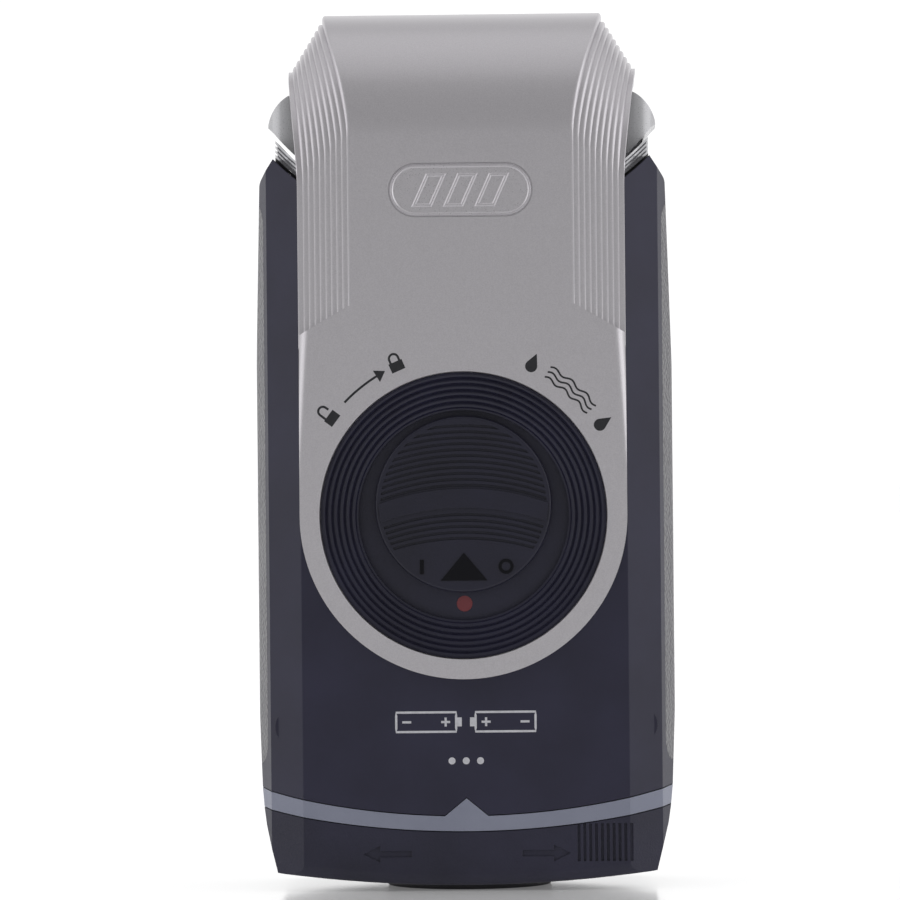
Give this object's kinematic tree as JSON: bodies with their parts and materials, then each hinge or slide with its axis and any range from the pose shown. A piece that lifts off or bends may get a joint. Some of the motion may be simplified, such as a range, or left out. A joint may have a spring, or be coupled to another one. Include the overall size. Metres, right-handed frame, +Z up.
{
  "type": "electric shaver",
  "caption": "Pocket foil shaver with a hood that turns on the front dial, a sliding switch, sprung foil cassette and twist-locked battery cover.",
  "frame": {"origin": "on the resting plane, under the middle of the body", "axes": "+Z up towards the cutting head, -Y is the front with the dial, +X is the right side seen from the front"},
  "size_m": [0.056, 0.031, 0.118],
  "materials": {
    "shell_dark": "satin dark blue-grey moulding",
    "cover_dark": "fine matte moulding",
    "foot_dark": "fine matte moulding",
    "grip_grey": "soft-touch grip with fine stipple",
    "band_blue": "satin blue-grey trim",
    "cap_silver": "silver metallic paint on plastic",
    "badge_silver": "silver metallic paint on plastic",
    "collar_silver": "bright silver plastic",
    "ear_silver": "bright silver plastic",
    "bezel_black": "matte black moulding",
    "button_black": "matte black moulding",
    "mark_black": "raised dark mark",
    "dot_red": "red inlay",
    "frame_black": "black cassette moulding",
    "foil_steel": "bright perforated foil",
    "blade_steel": "ground steel blades",
    "carrier_white": "low-friction white plastic",
    "chassis_grey": "grey inner moulding",
    "spring_steel": "drawn wire and strip",
    "screw_steel": "zinc-plated screws",
    "contact_brass": "stamped contact metal",
    "cell_can": "plain cell sleeve",
    "motor_steel": "plated motor can",
    "magnet_dark": "ferrite magnet",
    "armature_copper": "wound armature",
    "seal_rubber": "soft black seal",
    "board_green": "contact board"
  },
  "bodies": {
    "body": {"front_housing": "shell_dark", "rear_housing": "shell_dark", "housing_seal": "seal_rubber", "side_grip_left": "grip_grey", "side_grip_right": "grip_grey", "housing_screws": "screw_steel", "trim_band": "band_blue", "cover_seal": "seal_rubber", "cell_left": "cell_can", "cell_right": "cell_can", "battery_cradle": "chassis_grey", "cell_contact_positive": "contact_brass", "cell_contact_negative": "spring_steel", "motor_can": "motor_steel", "motor_endcap": "chassis_grey", "motor_bushes": "contact_brass", "motor_magnets": "magnet_dark", "motor_terminals": "contact_brass", "motor_frame": "chassis_grey", "motor_screws": "screw_steel", "drive_leaves": "spring_steel", "head_collar": "collar_silver", "collar_gasket": "seal_rubber", "drive_seal": "seal_rubber", "foil_springs": "spring_steel", "release_spring_left": "spring_steel", "release_spring_right": "spring_steel", "dial_bezel": "bezel_black", "dial_dot": "dot_red", "dial_screws": "screw_steel", "switch_board": "board_green", "switch_contacts": "contact_brass", "detent_spring": "spring_steel", "lead_strips": "contact_brass"},
    "hood": {"twist_cap": "cap_silver", "cap_badge": "badge_silver"},
    "switch": {"switch_button": "button_black", "switch_marks": "mark_black", "switch_carrier": "carrier_white", "switch_bridge": "contact_brass"},
    "rotor": {"motor_armature": "armature_copper", "motor_shaft": "spring_steel", "eccentric": "carrier_white"},
    "bridge": {"drive_bridge": "carrier_white", "drive_pin": "spring_steel", "cutter_spring": "spring_steel"},
    "cassette": {"foil_frame": "frame_black", "foil": "foil_steel"},
    "cutter": {"cutter_carrier": "frame_black", "cutter_blades": "blade_steel"},
    "left_button": {"release_button_left": "ear_silver"},
    "right_button": {"release_button_right": "ear_silver"},
    "cover": {"battery_cover": "cover_dark", "cover_contact": "contact_brass", "cover_spring": "spring_steel", "latch_washer": "screw_steel"},
    "latch": {"cover_latch": "foot_dark"}
  },
  "joints": [
    {"name": "twist_cap_turn", "type": "hinge", "parent": "body", "child": "hood", "pos_m": [0, -0.0127, 0.0502], "axis": [0, -1, 0], "range_deg": [0, 180]},
    {"name": "power_switch", "type": "slide", "parent": "body", "child": "switch", "axis": [0, 0, -1], "range_m": [0, 0.0032]},
    {"name": "rotor_spin", "type": "hinge", "parent": "body", "child": "rotor", "pos_m": [0, 0.0015, 0.07], "axis": [0, 0, 1], "continuous": true},
    {"name": "drive_slide", "type": "slide", "parent": "body", "child": "bridge", "axis": [1, 0, 0], "range_m": [-0.0007, 0.0007], "stiffness_N_per_m": 400, "deforming": ["drive_leaves"]},
    {"name": "foil_float", "type": "slide", "parent": "body", "child": "cassette", "axis": [0, 0, -1], "range_m": [0, 0.0012], "stiffness_N_per_m": 500, "springref_m": -0.001, "deforming": ["foil_springs", "cutter_spring"]},
    {"name": "cutter_slide", "type": "slide", "parent": "cassette", "child": "cutter", "axis": [1, 0, 0], "range_m": [-0.0007, 0.0007]},
    {"name": "release_left", "type": "slide", "parent": "body", "child": "left_button", "axis": [1, 0, 0], "range_m": [0, 0.0012], "stiffness_N_per_m": 600, "springref_m": -0.0005, "deforming": ["release_spring_left"]},
    {"name": "release_right", "type": "slide", "parent": "body", "child": "right_button", "axis": [-1, 0, 0], "range_m": [0, 0.0012], "stiffness_N_per_m": 600, "springref_m": -0.0005, "deforming": ["release_spring_right"]},
    {"name": "battery_cover_pull", "type": "slide", "parent": "body", "child": "cover", "axis": [0, 0, -1], "range_m": [0, 0.004]},
    {"name": "cover_latch_turn", "type": "hinge", "parent": "cover", "child": "latch", "pos_m": [0, 0.0015, 0], "axis": [0, 0, 1], "range_deg": [0, 90]}
  ],
  "couplings": [
    {"joint": "cutter_slide", "follows": "drive_slide", "ratio": 1}
  ]
}
